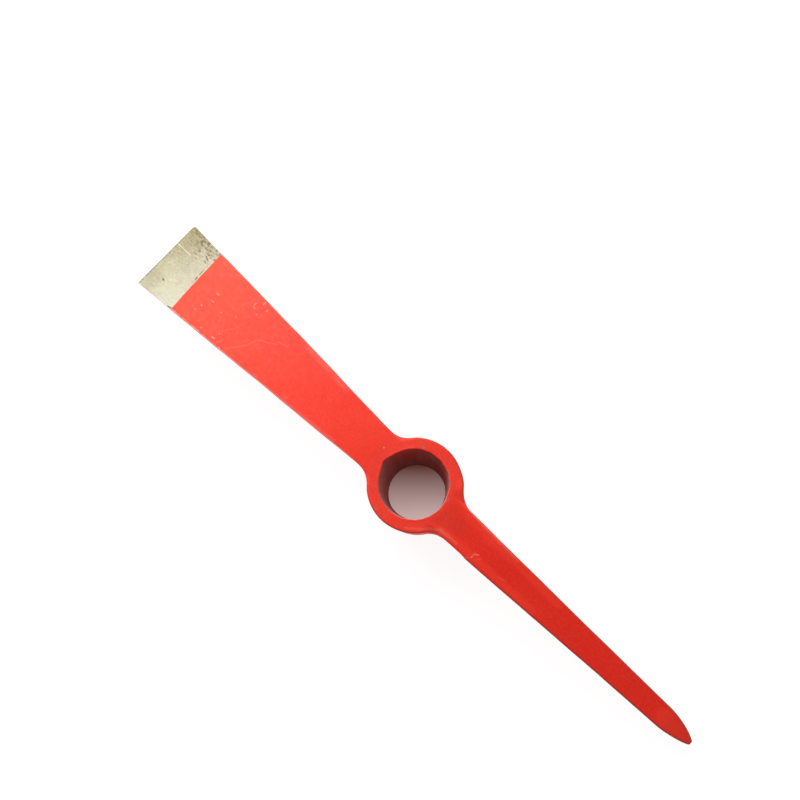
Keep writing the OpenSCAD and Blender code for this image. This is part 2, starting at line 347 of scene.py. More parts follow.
def pick_section(eye, pick, loop, x):
    """The pick's section: it narrows and thins in straight lines. On one side it stands out
    further, by shoulder at the root and by fullness just past it, which fades along the arm, and
    the upper edge is a broad round that fades too, half as broad on the other side. The rounds are
    flat at the eye, so that its face runs out onto the arm."""
    left = np.where(loop[:, 0] < 0.0, 1.0, 0.0)
    half = line(x, eye.face_radius, pick.root_width, pick.point_start, pick.nose_width) / 2.0
    past = ease((x - FULL_START) / FULL_RUN)
    full = pick.fullness * np.clip((FULL_END - x) / FULL_FADE, 0.0, 1.0)
    half = half + left * (pick.shoulder * (1.0 - past) + full * past)
    thick = line(x, eye.face_radius, pick.root_thickness, pick.point_start, pick.nose_thickness)
    top = top_line(eye, x, pick.slope_start, pick.point_start, pick.drop, pick.bend)
    fade = ease((ROUND_END - x) / ROUND_FADE) * (0.5 + 0.5 * left)
    broad = pick.edge_round + (pick.root_round - pick.edge_round) * fade
    rise = fade * ease((x - ROUND_START) / ROUND_RUN)
    tall = pick.edge_round + (ROUND_RISE * pick.root_round - pick.edge_round) * rise
    return section(loop, x, half, top, thick, (broad, tall, pick.edge_round), 0.0, eye.draft, swayed(pick, x))


def shifts(points, wave, seed):
    """A smooth random shift for each point: random vectors on a cubic lattice of the given pitch,
    blended across each cell with the quintic 6 t^5 - 15 t^4 + 10 t^3."""
    table = np.random.default_rng(seed).uniform(-1.0, 1.0, (LATTICE, LATTICE, LATTICE, 3))
    cell = points / wave
    base = np.floor(cell).astype(int)
    part = cell - base
    part = part ** 3 * (part * (6.0 * part - 15.0) + 10.0)
    total = np.zeros_like(points)
    for corner in np.ndindex(2, 2, 2):
        share = np.prod(np.where(corner, part, 1.0 - part), axis=1)
        i, j, k = ((base + corner) % LATTICE).T
        total += share[:, None] * table[i, j, k]
    return total


def hammered(points, forge):
    """Moves points by the forging's unevenness, which depends on the place alone, so neighbouring
    pieces keep their common outline. The bore and the foot stay true, and nothing leaves the CAD
    model's box."""
    spread = np.hypot(points[:, 0], points[:, 1])
    free = ease((spread - TRUE_RADIUS) / TRUE_FADE) * ease(points[:, 2] / FOOT_FADE)
    moved = (forge.broad_depth * shifts(points, forge.broad_wave, BROAD_SEED)
             + forge.small_depth * shifts(points, forge.small_wave, SMALL_SEED))
    return np.clip(points + free[:, None] * moved, CAD_BOX[0], CAD_BOX[1])


def tube_faces(first, second):
    """Quads between two closed rows of point numbers, or between each pair of rows in two such
    grids."""
    return np.stack([first, np.roll(first, -1, -1), np.roll(second, -1, -1), second], -1).reshape(-1, 4)


def build(name, points, quads, triangles, edge, bore, sharp_rows):
    """Makes a mesh object at the origin from points, quads and triangles, with the edge and bore
    attributes, smooth faces, and sharp edges along the rows of point numbers where a flat end starts."""
    used = np.unique(np.concatenate([quads.ravel(), triangles.ravel()]))
    number = np.full(len(points), -1)
    number[used] = np.arange(len(used))
    mesh = bpy.data.meshes.new(name)
    mesh.from_pydata(points[used].tolist(), [], number[quads].tolist() + number[triangles].tolist())
    mesh.polygons.foreach_set("use_smooth", np.ones(len(mesh.polygons), bool))
    for label, values in (("edge_roundness", edge), ("bore_wall", bore)):
        field = mesh.attributes.new(label, "FLOAT", "POINT")
        field.data.foreach_set("value", values[used].astype(np.float32))
    ends = np.empty(2 * len(mesh.edges), int)
    mesh.edges.foreach_get("vertices", ends)
    pairs = np.sort(ends.reshape(-1, 2), 1)
    rims = np.vstack([np.sort(np.stack([number[row], np.roll(number[row], -1)], 1), 1) for row in sharp_rows])
    size = len(used)
    sharp = np.isin(pairs[:, 0] * size + pairs[:, 1], rims[:, 0] * size + rims[:, 1])
    mesh.attributes.new("sharp_edge", "BOOLEAN", "EDGE").data.foreach_set("value", sharp)
    mesh.validate()
    piece = bpy.data.objects.new(name, mesh)
    bpy.context.collection.objects.link(piece)
    return piece


def lofted(name, rows, loop, forge, turned=False):
    """A closed skin through rows of points that run outwards along an arm, with a flat fan over
    each end. A turned one is swung half round the bore's axis, to the blade's side."""
    count, around = rows.shape[:2]
    grid = np.arange(count * around).reshape(count, around)
    points = np.vstack([rows.reshape(-1, 3), rows[0].mean(0), rows[-1].mean(0)])
    if turned:
        points = points * np.array([-1.0, -1.0, 1.0])
    quads = tube_faces(grid[1:], grid[:-1])
    inner, outer = count * around, count * around + 1
    first, last = grid[0], grid[-1]
    triangles = np.vstack([
        np.stack([np.full(around, inner), first, np.roll(first, -1)], 1),
        np.stack([np.full(around, outer), np.roll(last, -1), last], 1)])
    wear = np.concatenate([np.tile(roundness(loop), count), [0.0, 0.0]])
    return build(name, hammered(points, forge), quads, triangles, wear, np.zeros(len(points)), [first, last])


def ring_profile(eye):
    """Closed outline of the eye's wall as radius and height: up the throat and the taper, over the
    mouth's round, out along the face, over the rim, down the tapered side and back under the foot.
    Also gives how close each point is to a rounded edge, whether it is on the bore's wall, and
    where the stretches start."""
    top, rim = eye.height - FACE_STEP, eye.rim_round
    mouth = eye.mouth_radius + eye.mouth_round
    face, foot = eye.face_radius - SIDE_STEP, eye.foot_radius - SIDE_STEP

    def run(begin, end, count, inside):
        t = np.linspace(0.0, 1.0, count, endpoint=False)
        return np.stack([begin[0] + (end[0] - begin[0]) * t, begin[1] + (end[1] - begin[1]) * t,
                         np.zeros(count), np.full(count, inside)], 1)

    def turn(centre, radius, start, stop, count, inside, fade):
        angle = np.radians(np.linspace(start, stop, count, endpoint=False))
        return np.stack([centre[0] + radius * np.cos(angle), centre[1] + radius * np.sin(angle),
                         np.abs(np.sin(2.0 * angle)),
                         inside * (1.0 - fade * np.linspace(0.0, 1.0, count, endpoint=False))], 1)

    parts = [
        run((eye.throat_radius, 0.0), (eye.throat_radius, eye.throat_length), 8, 1.0),
        run((eye.throat_radius, eye.throat_length), (eye.mouth_radius, top - eye.mouth_round), 30, 1.0),
        turn((mouth, top - eye.mouth_round), eye.mouth_round, 180, 90, 8, 1.0, 1.0),
        run((mouth, top), (face - rim, top), 10, 0.0),
        turn((face - rim, top - rim), rim, 90, 0, 10, 0.0, 0.0),
        run((face, top - rim), (foot, rim), 48, 0.0),
        turn((foot - rim, rim), rim, 0, -90, 6, 0.0, 0.0),
        run((foot - rim, 0.0), (eye.throat_radius, 0.0), 8, 0.0)]
    starts = np.cumsum([0] + [len(part) for part in parts])
    return np.vstack(parts), starts


def turned_ring(eye, profile, starts, angle):
    """Points of the profile at each angle round the bore. The mouth's edge waves by up to 0.2 mm,
    as three sines of the angle, and is knocked out by 2 mm on the blade's side, which fades down
    the bore and over the face. The outside is shifted towards the pick and swells beside it, on one
    side by 1 mm and on the other by 0.4 mm, which fades over the face and down to the foot. Knock
    and swells are bell curves of the angle."""
    def bell(height, middle, breadth):
        off = (np.degrees(angle) - middle + 180.0) % 360.0 - 180.0
        return height * np.exp(-(off / breadth) ** 2)

    face = np.linspace(0.0, 1.0, starts[4] - starts[3])
    inner = ease((profile[:, 1] - WAVE_START) / WAVE_RUN)
    inner[starts[3]:starts[4]] = ease(1.0 - 1.3 * face)
    inner[starts[4]:] = 0.0
    outer = ease(profile[:, 1] / SWELL_RUN)
    outer[:starts[3]] = 0.0
    outer[starts[3]:starts[4]] = ease(face)
    wave = sum(height * np.sin(number * angle + phase) for height, number, phase in MOUTH_WAVES)
    swell = sum(bell(*bump) for bump in SWELLS)
    radius = profile[:, 0] + np.outer((wave + bell(*KNOCK)) * MM, inner) + np.outer(swell * MM, outer)
    return np.stack([radius * np.cos(angle)[:, None] + eye.shift * outer, radius * np.sin(angle)[:, None],
                     np.tile(profile[:, 1], (len(angle), 1))], -1)


def root_rows(eye, loop, section_at, joint, footprint, meet):
    """Rows of points from an arm's joint to its footprint on the eye. Each line follows the arm's
    surface inwards and then a parabola, tangent to the arm and to the eye, whose middle control
    point is where the arm's line meets the eye's tangent plane at the footprint. On top, that point
    is at the radius meet."""
    count = len(loop)
    at = section_at(np.full((1, count), eye.face_radius))[0]
    slope = (section_at(np.full((1, count), eye.face_radius + MM))[0] - at) / MM
    spread = np.hypot(footprint[:, 0], footprint[:, 1])
    plane = np.stack([footprint[:, 0] / spread, footprint[:, 1] / spread, np.zeros(count)], 1)
    side_x = eye.face_radius - ((at - footprint) * plane).sum(1) / (slope * plane).sum(1)
    top_x = np.sqrt(meet ** 2 - np.minimum(np.abs(at[:, 1]), 0.9 * meet) ** 2)
    over = np.where(loop[:, 1] > 0.99, ease((loop[:, 3] - 0.05) / 0.6), 0.0)
    corner_x = over * top_x + (1.0 - over) * side_x
    corner = section_at(corner_x[None])[0]
    face = footprint[:, 2].max()
    corner[:, 2] += over * (face - corner[:, 2]) * (corner[:, 2] > face - MM)
    leave = corner_x + np.maximum(np.linalg.norm(footprint - corner, axis=1), LEAST_FILLET)
    leave = np.minimum(leave, joint - MM)
    steps = max(10, int((joint - eye.face_radius) / MM))
    t = np.linspace(0.0, 1.0, steps + 1)[:, None]
    straight = section_at(joint + (leave[None] - joint) * t)
    t = np.linspace(0.0, 1.0, FILLET_ROWS + 1)[1:, None, None]
    curve = (1 - t) ** 2 * straight[-1] + 2 * t * (1 - t) * corner + t ** 2 * footprint
    return np.concatenate([straight, curve]), steps


def eye_skin(eye, blade, pick, forge):
    """The eye's closed skin: its profile turned round the bore's axis, with a window in the grid
    for each arm, whose root runs from the window's border to a flat end at the joint. The grid's
    columns spread over each window as the points do over the arm's top."""
    profile, starts = ring_profile(eye)
    face_at = starts[3]
    arms, halves, spokes = [], [], []
    for loop, section_of, arm, width, first, down, meet, turn in (
            (PICK_LOOP, pick_section, pick, pick.root_width, face_at + 2, PICK_DOWN, PICK_MEET, 0.0),
            (BLADE_LOOP, blade_section, blade, blade.neck_width, face_at + 7, BLADE_DOWN, BLADE_MEET,
             math.pi)):
        section_at = partial(section_of, eye, arm, loop)
        across = np.count_nonzero(loop[:, 3] > math.sqrt(0.5) - 1e-6) - 1
        edge = section_at(np.full((1, len(loop)), arm.joint))[0][:across + 1]
        far = np.concatenate([[0.0], np.cumsum(np.linalg.norm(np.diff(edge, axis=0), axis=1))])
        halves.append(math.asin((width / 2 + eye.side_fillet) / (eye.face_radius + eye.side_fillet)))
        spokes.append(turn + halves[-1] * (2 * far / far[-1] - 1))
        swing = np.array([math.cos(turn), math.cos(turn), 1.0])
        arms.append((loop, section_at, arm.joint, first, first + down, meet, swing))
    gap = np.linspace(halves[0], math.pi - halves[1], GAP_COLUMNS)[1:-1]
    angle = np.concatenate([spokes[0], gap, spokes[1], gap + math.pi + halves[1] - halves[0]])
    columns, levels = np.arange(len(angle)), np.arange(len(profile))
    grid = np.arange(angle.size * levels.size).reshape(angle.size, levels.size)
    cells, soft = np.ones(grid.shape, bool), np.zeros(grid.shape)
    points = [turned_ring(eye, profile, starts, angle).reshape(-1, 3)]
    edges, bores = [np.tile(profile[:, 2], angle.size)], [np.tile(profile[:, 3], angle.size)]
    softs, quads, triangles, rims = [], [], [], []
    total, a = grid.size, 0
    for (loop, section_at, joint, first, last, meet, swing), fan in zip(arms, spokes):
        b = a + len(fan) - 1
        cells[a:b, first:last] = False
        beside, above = np.maximum(a - columns, columns - b), np.maximum(first - levels, levels - last)
        near = np.clip(1.0 - np.maximum(beside[:, None], above) / SOFT_CELLS, 0.0, 1.0)
        soft = np.maximum(soft, near * (levels > face_at))
        border = np.concatenate([grid[a:b, first], grid[b, first:last], grid[b:a:-1, last],
                                 grid[a, last:first:-1]])
        rows, steps = root_rows(eye, loop, section_at, joint, points[0][border] * swing, meet)
        fresh = rows[:-1].reshape(-1, 3) * swing
        centre = total + len(fresh)
        made = np.vstack([np.arange(total, centre).reshape(-1, len(loop)), border])
        points += [fresh, (rows[0].mean(0) * swing)[None]]
        step = np.arange(len(rows) - 1)
        late = ease((step / len(step) - 0.6) / 0.4)[:, None]
        edges += [((1 - late) * roundness(loop) + late * edges[0][border]).ravel(), [0.0]]
        bores.append(np.zeros(len(fresh) + 1))
        softs += [np.repeat(np.clip((step - steps + 6) / 8.0, 0.0, 1.0), len(loop)), [0.0]]
        quads.append(tube_faces(made[:-1], made[1:]))
        triangles.append(np.stack([np.full(len(loop), centre), np.roll(made[0], -1), made[0]], 1))
        rims.append(made[0])
        total, a = centre + 1, b + 1 + len(gap)
    ahead, below = np.roll(grid, -1, 0), np.roll(grid, -1, 1)
    quads = np.vstack([*quads, np.stack([grid, below, np.roll(ahead, -1, 1), ahead], -1)[cells]])
    points = eased_over(np.vstack(points), quads, np.concatenate([soft.ravel(), *softs]), SOFT_ROUNDS)
    return build("eye_forging", hammered(points, forge), quads, np.vstack(triangles), np.concatenate(edges),
                 np.concatenate(bores), rims)


def eased_over(points, quads, share, rounds):
    """Draws each point towards the mean of its neighbours, by half its share, so that the fillets
    run out into the eye without a crease."""
    pairs = np.vstack([quads[:, [0, 1]], quads[:, [1, 2]], quads[:, [2, 3]], quads[:, [3, 0]]])
    pairs = np.unique(np.sort(pairs, 1), axis=0)
    a, b = pairs.T
    size = len(points)
    degree = np.maximum(np.bincount(a, minlength=size) + np.bincount(b, minlength=size), 1)
    points = points.copy()
    for _ in range(rounds):
        mean = np.stack([np.bincount(a, points[b, k], size) + np.bincount(b, points[a, k], size)
                         for k in range(3)], 1) / degree[:, None]
        points += 0.5 * share[:, None] * (mean - points)
    return points


def add(tree, kind, inputs=(), out=0, **settings):
    """Adds a node with its settings, fills its inputs, by number or by name, with values or links,
    and gives one of its outputs. A kind such as Math.MULTIPLY names the node's operation too."""
    kind, _, operation = kind.partition(".")
    made = tree.nodes.new("ShaderNode" + kind)
    if operation:
        made.operation = operation
    for name, value in settings.items():
        setattr(made, name, value)
    for key, value in (inputs.items() if isinstance(inputs, dict) else enumerate(inputs)):
        if isinstance(value, bpy.types.NodeSocket):
            tree.links.new(value, made.inputs[key])
        else:
            made.inputs[key].default_value = value
    return made.outputs[out] if made.outputs else made


def blank(name):
    """A new node material with nothing in it, and its tree."""
    material = bpy.data.materials.new(name)
    material.use_nodes = True
    material.node_tree.nodes.clear()
    return material, material.node_tree


def strokes(tree, place, marks):
    """The strongest of several marks on the plan. A mark is a straight stroke from one point to
    another, in millimetres, with a width: 1 along its middle, a half at half its width from there,
    and 0 further out."""
    node = partial(add, tree)
    flat = node("VectorMath.MULTIPLY", (place, (1.0, 1.0, 0.0)))
    strongest = 0.0
    for x0, y0, x1, y1, width in marks:
        begin, step = Vector((x0, y0, 0.0)) * MM, Vector((x1 - x0, y1 - y0, 0.0)) * MM
        off = node("VectorMath.SUBTRACT", (flat, begin))
        along = node("VectorMath.DOT_PRODUCT", (off, step / step.length_squared), "Value")
        foot = node("VectorMath.SCALE", {0: step, "Scale": node("Clamp", (along,))})
        far = node("VectorMath.DISTANCE", (off, foot), "Value")
        mark = node("MapRange", (far, 0.2 * width * MM, 0.8 * width * MM, 1.0, 0.0),
                    interpolation_type="SMOOTHSTEP")
        strongest = node("Math.MAXIMUM", (mark, strongest))
    return strongest


def red_enamel(finish):
    """Red alkyd enamel, dipped over forged steel and knocked about in a store: a satin, slightly
    uneven red with chalky scuffs and wrinkles, worn edges where grey steel shows, and a bore that
    the dip hardly reached, so that dark forge scale shows there under a little overspray. Painted
    highlights, sheen and shade are laid into its colour too."""
    material, tree = blank("red_alkyd_enamel")
    node = partial(add, tree)
    place = node("TexCoord", out="Object")
    spot_x, spot_y, spot_z = node("SeparateXYZ", (place,)).node.outputs
    facing = node("SeparateXYZ", (node("NewGeometry", out="Normal"),), "Z")
    upper = node("MapRange", (facing, 0.2, 0.5))
    edge = node("Attribute", out="Fac", attribute_name="edge_roundness")
    wall = node("Attribute", out="Fac", attribute_name="bore_wall")

    # Cloudy thickness of the dip over about 20 mm, and a grain of 1.3 mm that breaks it up. It is deeper on
    # the pick, which is painted shade.
    cloud = node("TexNoise", {"Vector": place, "Scale": 1 / 0.020, "Detail": 4.0})
    grain = node("TexNoise", {"Vector": place, "Scale": 1 / 0.0013, "Detail": 2.0})
    thick = node("MapRange", (node("Mix", {0: 0.75, 2: cloud, 3: grain}), 0.25, 0.75))
    thick = node("Math.ADD", (thick, node("MapRange", (spot_x, 0.02, 0.08, 0.0, 0.25))))

    # It turns orange towards the blade's end, which is painted sheen, and is brighter on the pick's flanks
    # and tip, which is painted highlight.
    worn = node("MapRange", (spot_x, -0.10, -0.21, 0.0, 0.5))
    flank_sheen = strokes(tree, place, FLANK_SHEENS)
    for share in (upper, 0.5):
        flank_sheen = node("Math.MULTIPLY", (flank_sheen, share))

    # The marks waver by about 0.5 mm over 3 mm, as a scrape over an uneven surface does.
    waver = node("TexNoise", {"Vector": place, "Scale": 1 / 0.003, "Detail": 3.0}, "Color")
    waver = node("VectorMath.SUBTRACT", (waver, (0.5, 0.5, 0.5)))
    waver = node("VectorMath.SCALE", {0: waver, "Scale": 1.6 * MM})
    bent = node("VectorMath.ADD", (place, waver))

    # Fine wrinkles in the paint, drawn about 1 mm wide so that they show: the marked ones, and
    # level lines of a noise 22 mm across in patches on the blade. They are drawn pale, as scuffed paint and
    # in part as a painted highlight on their crests.
    swirl = node("TexNoise", {"Vector": bent, "Scale": 1 / 0.022, "Detail": 2.0})
    crease = node("Math.ABSOLUTE", (node("Math.SUBTRACT", (swirl, 0.5)),))
    crease = node("MapRange", (crease, 0.0, 0.022, 0.3, 0.0))
    patch = node("TexNoise", {"Vector": place, "Scale": 1 / 0.030, "Detail": 3.0})
    for share in (node("MapRange", (patch, 0.50, 0.64)), node("MapRange", (spot_x, -0.07, -0.13))):
        crease = node("Math.MULTIPLY", (crease, share))
    crease = node("Math.MAXIMUM", (crease, strokes(tree, bent, WRINKLES)))
    for share in (node("MapRange", (grain, 0.35, 0.60, 0.3, 1.0)), upper):
        crease = node("Math.MULTIPLY", (crease, share))

    # Dust nibs about 0.6 mm across, in one of eight cells of 9 mm.
    nibs = node("TexVoronoi", {"Vector": bent, "Scale": 1 / 0.009}).node.outputs
    nib = node("MapRange", (nibs["Distance"], 0.025, 0.050, 1.0, 0.0))
    chosen = node("Math.GREATER_THAN", (node("SeparateXYZ", (nibs["Color"],), "X"), 0.88))
    for share in (chosen, upper):
        nib = node("Math.MULTIPLY", (nib, share))
    nick = node("Math.MULTIPLY", (strokes(tree, bent, NICKS), upper))

    # Painted highlights along the ridges that run from the eye onto the pick and along the blade's long
    # edges, broken up in runs of about 10 mm. The long edges are chalky towards the blade's end, and paler
    # most of all on one side, which is painted highlight.
    runs = node("TexNoise", {"Vector": place, "Scale": 1 / 0.010, "Detail": 5.0})
    ridge_sheen = strokes(tree, place, RIDGE_SHEENS)
    for share in (upper, node("MapRange", (runs, 0.35, 0.65, 0.4, 1.2))):
        ridge_sheen = node("Math.MULTIPLY", (ridge_sheen, share))
    edge_lightening = node("Math.MULTIPLY_ADD", (edge, 0.3, runs))
    for more in (node("MapRange", (spot_x, -0.08, -0.22, -0.15, 0.20)),
                 node("MapRange", (spot_y, -0.01, 0.01, 0.0, -0.25))):
        edge_lightening = node("Math.ADD", (edge_lightening, more))
    side_highlight = node("MapRange", (spot_y, 0.0, -0.015, 0.15, 0.7))
    chalk_and_highlight = node("Math.MAXIMUM", (node("MapRange", (edge_lightening, 0.72, 0.95)), side_highlight))
    for share in (edge, node("MapRange", (spot_x, -0.03, -0.07))):
        chalk_and_highlight = node("Math.MULTIPLY", (chalk_and_highlight, share))

    # All that is pale, painted highlights among it, with a faint bloom over the blade in patches of about 4
    # mm.
    fine = node("TexNoise", {"Vector": place, "Scale": 1 / 0.004, "Detail": 4.0})
    bloom = node("MapRange", (fine, 0.45, 0.70, 0.0, 0.06))
    bloom = node("Math.MULTIPLY", (bloom, node("MapRange", (spot_x, -0.08, -0.15))))
    pale = node("Math.MAXIMUM", (chalk_and_highlight, bloom))
    for mark, share in ((crease, 0.16), (nib, 0.35), (nick, 0.7), (ridge_sheen, 0.14)):
        pale = node("Math.MAXIMUM", (pale, node("Math.MULTIPLY", (mark, share))))

    # The eye's face is a little darker. The middle of the pick's top by the eye, the pick's long edges and
    # the eye's outer rim, away from the arms, are darkened as painted shade.
    spread = node("VectorMath.MULTIPLY", (place, (1.0, 1.0, 0.0)))
    spread = node("VectorMath.LENGTH", (spread,), "Value")
    dirt_and_shade = node("MapRange", (spread, 0.040, 0.034, 0.0, 0.07))
    for mark, share in ((strokes(tree, bent, CRACKS), 0.25), (strokes(tree, place, VALLEY_SHADE), 0.13)):
        dirt_and_shade = node("Math.MAXIMUM", (dirt_and_shade, node("Math.MULTIPLY", (mark, share))))
    dirt_and_shade = node("Math.MULTIPLY", (dirt_and_shade, upper))
    rim = node("MapRange", (node("Math.ABSOLUTE", (spot_y,)), 0.020, 0.024, 0.0, 0.5))
    rim = node("Math.MULTIPLY", (rim, node("MapRange", (spread, 0.042, 0.036))))
    edge_shade = node("Math.MAXIMUM", (node("MapRange", (spot_x, 0.06, 0.12, 0.0, 0.6)), rim))
    for share in (edge, node("MapRange", (spread, 0.0315, 0.0325))):
        edge_shade = node("Math.MULTIPLY", (edge_shade, share))
    dirt_and_shade = node("Math.MAXIMUM", (dirt_and_shade, edge_shade))

    # Chips down to the steel: a few on the eye's rims and at the neck, broken up by a noise that is
    # 1.5 mm across.
    flake = node("TexNoise", {"Vector": place, "Scale": 1 / 0.0015, "Detail": 3.0})
    chip = strokes(tree, bent, CHIPS)
    for share in (node("MapRange", (flake, 0.38, 0.58, 0.0, 0.75)), node("MapRange", (facing, 0.05, 0.30))):
        chip = node("Math.MULTIPLY", (chip, share))
    tint = (*finish.enamel, 1.0)
    for share, shade in ((thick, finish.enamel_deep), (worn, finish.enamel_end_sheen),
                         (flank_sheen, finish.enamel_flank_sheen), (pale, finish.enamel_pale),
                         (dirt_and_shade, finish.scale), (chip, finish.chip)):
        tint = node("Mix", {0: share, 6: tint, 7: (*shade, 1.0)}, 2, data_type="RGBA")

    # Forge scale in the bore, streaked along the draw of the punch, with overspray near the mouth, and
    # lighter with rust colour on the side that lies along (0.50, -0.85) in plan, which is painted light. It
    # starts raggedly at the mouth.
    ragged = node("MapRange", (fine, 0.0, 1.0, -0.5, 0.5))
    inside = node("MapRange", (node("Math.ADD", (wall, ragged)), 0.52, 0.66))
    drawn = node("VectorMath.MULTIPLY", (place, (1.0, 1.0, 0.12)))
    streak = node("TexNoise", {"Vector": drawn, "Scale": 1 / 0.003, "Detail": 4.0})
    mist = node("TexNoise", {"Vector": place, "Scale": 1 / 0.009, "Detail": 5.0})
    mist = node("Math.ADD", (mist, node("MapRange", (spot_z, 0.010, 0.055, -0.18, 0.12))))
    lit_side = node("VectorMath.DOT_PRODUCT", (place, (0.50, -0.85, 0.0)), "Value")
    bare = (*finish.scale, 1.0)
    for share, shade in ((node("MapRange", (streak, 0.2, 0.8, 0.0, 0.4)), finish.rust),
                         (node("MapRange", (mist, 0.30, 0.72)), finish.overspray),
                         (node("MapRange", (lit_side, -0.015, 0.006, 0.0, 0.9)), finish.rust)):
        bare = node("Mix", {0: share, 6: bare, 7: (*shade, 1.0)}, 2, data_type="RGBA")
    tint = node("Mix", {0: inside, 6: tint, 7: bare}, 2, data_type="RGBA")

    # Satin on sound paint, duller where it is pale and in the bore, and metal where it is chipped.
    rough = node("MapRange", (grain, 0.0, 1.0, 0.44, 0.56))
    for share, more in ((pale, 0.2), (inside, 0.3)):
        rough = node("Math.MULTIPLY_ADD", (share, more, rough))
    metal = node("Math.MULTIPLY", (chip, 0.8))

    # Heights in millimetres: orange peel of about 1.8 mm, proud wrinkles, nicks, chips, and the
    # scale's roughness.
    peel = node("TexNoise", {"Vector": place, "Scale": 1 / 0.0018, "Detail": 1.0})
    rasp = node("Math.MULTIPLY", (streak, inside))
    relief = 0.0
    for form, height in ((peel, 0.025), (crease, 0.06), (nick, -0.04), (chip, -0.08), (rasp, 0.08)):
        relief = node("Math.MULTIPLY_ADD", (form, height * MM, relief))
    bump = node("Bump", {"Height": relief, "Distance": 1.0, "Strength": 1.0})
    shader = node("BsdfPrincipled", {"Base Color": tint, "Roughness": rough, "Metallic": metal, "IOR": 1.39,
                                     "Normal": bump})
    node("OutputMaterial", (shader,))
    return material


def ground_steel(finish):
    """Carbon steel ground bare after the dip, then left in a store: a dull yellowish grey with fine
    grinding lines along the blade, brown stains and pits, and a dark burr along the edge."""
    material, tree = blank("ground_carbon_steel")
    node = partial(add, tree)
    place = node("TexCoord", out="Object")
    spot_x, spot_y, _ = node("SeparateXYZ", (place,)).node.outputs
    edge = node("Attribute", out="Fac", attribute_name="edge_roundness")

    # Grinding lines along the blade, drawn 0.8 mm apart so that they show, and mottles that are
    # 1 mm and 12 mm across.
    drawn = node("VectorMath.MULTIPLY", (place, (0.06, 1.0, 1.0)))
    lines = node("TexNoise", {"Vector": drawn, "Scale": 1 / 0.0008, "Detail": 2.0})
    mottle = node("TexNoise", {"Vector": place, "Scale": 1 / 0.0010, "Detail": 3.0})
    cloud = node("TexNoise", {"Vector": place, "Scale": 1 / 0.012, "Detail": 5.0})
    dull = node("Mix", {0: 0.3, 2: node("Mix", {0: 0.5, 2: lines, 3: mottle}), 3: cloud})
    dull = node("MapRange", (dull, 0.36, 0.64))

    # Brighter in scratches, and towards the paint and one long side, which is painted reflection, and on
    # the edge of that side, which is painted highlight.
    bright = node("VectorMath.DOT_PRODUCT", (place, (0.9, -0.4, 0.0)), "Value")
    bright = node("MapRange", (bright, -0.238, -0.190, 0.0, 0.5))
    edge_lightening = node("MapRange", (spot_y, 0.0, -0.02))
    for mark, share in ((strokes(tree, place, SCRATCHES), 0.8), (edge, edge_lightening)):
        bright = node("Math.MAXIMUM", (bright, node("Math.MULTIPLY", (mark, share))))

    # Brown stains crowd along one long side, in flecks of 1.6 mm drawn out along the blade, and
    # there is a ragged brown burr along the cutting edge.
    fleck = node("VectorMath.MULTIPLY", (place, (0.4, 1.0, 1.0)))
    fleck = node("TexNoise", {"Vector": fleck, "Scale": 1 / 0.0016, "Detail": 6.0, "Roughness": 0.65})
    side = node("MapRange", (spot_y, 0.009, 0.024, -0.08, 0.08))
    stain = node("MapRange", (node("Math.ADD", (fleck, side)), 0.55, 0.68))
    stain = node("Math.MULTIPLY", (stain, node("MapRange", (spot_x, -0.252, -0.240, 0.2, 1.0))))
    stain = node("Math.MAXIMUM", (stain, strokes(tree, place, STAINS)))
    stain = node("Math.MULTIPLY", (stain, 0.62))
    burr = node("Math.MULTIPLY_ADD", (fleck, -2.0 * MM, spot_x))
    burr = node("MapRange", (burr, -0.2550, -0.2562, 0.0, 0.6))
    stain = node("Math.MAXIMUM", (stain, burr))
    tint = (*finish.steel, 1.0)
    for share, shade in ((dull, finish.steel_dull), (bright, finish.steel_bright),
                         (stain, finish.steel_dark)):
        tint = node("Mix", {0: share, 6: tint, 7: (*shade, 1.0)}, 2, data_type="RGBA")
    rough = node("MapRange", (dull, 0.0, 1.0, 0.66, 0.74))
    rough = node("Math.MULTIPLY_ADD", (stain, 0.15, rough))
    metal = node("MapRange", (stain, 0.0, 1.0, 1.0, 0.3))

    # Heights in millimetres: grinding lines and pits.
    relief = 0.0
    for form, height in ((lines, 0.004), (stain, -0.03)):
        relief = node("Math.MULTIPLY_ADD", (form, height * MM, relief))
    bump = node("Bump", {"Height": relief, "Distance": 1.0, "Strength": 1.0})
    shader = node("BsdfPrincipled", {"Base Color": tint, "Roughness": rough, "Metallic": metal,
                                     "Normal": bump})
    node("OutputMaterial", (shader,))
    return material


# Marks on the plan, in millimetres: where a stroke starts, where it ends, and its width.
NICKS = (
    (-203.3, 5.1, -201.2, 5.2, 0.7), (-202.3, -1.4, -200.1, -1.2, 0.6),
    (-206.3, -8.4, -205.3, -8.7, 0.7), (-207.6, -14.0, -206.9, -14.4, 0.5),
    (-190.3, -3.2, -189.8, -3.3, 0.5), (-182.4, -20.5, -179.9, -20.4, 0.8),
    (-180.2, -15.4, -179.5, -15.8, 0.5), (-173.2, -22.9, -172.0, -23.1, 0.8),
    (-194.2, -21.2, -193.2, -20.9, 0.45), (-175.5, 15.6, -175.7, 18.9, 0.42),
    (-174.6, 15.3, -173.2, 15.6, 0.4), (-171.2, 22.0, -171.1, 24.4, 0.6),
    (-165.8, 19.4, -165.4, 20.4, 0.55), (-169.1, 12.3, -169.1, 13.7, 0.5),
    # On the next line, the two marks on the pick are a painted highlight on a wrinkle's crest.
    (-33.2, 4.6, -32.8, 4.6, 0.6), (64.1, -10.0, 64.5, -6.9, 0.3), (64.9, -6.2, 66.9, -5.2, 0.4),
    (-219.5, -25.8, -213.0, -25.4, 1.2), (-210.2, -25.3, -203.0, -24.9, 0.9),
    (-200.0, -24.9, -193.0, -24.3, 1.0), (-189.0, -24.3, -185.0, -24.0, 0.8))
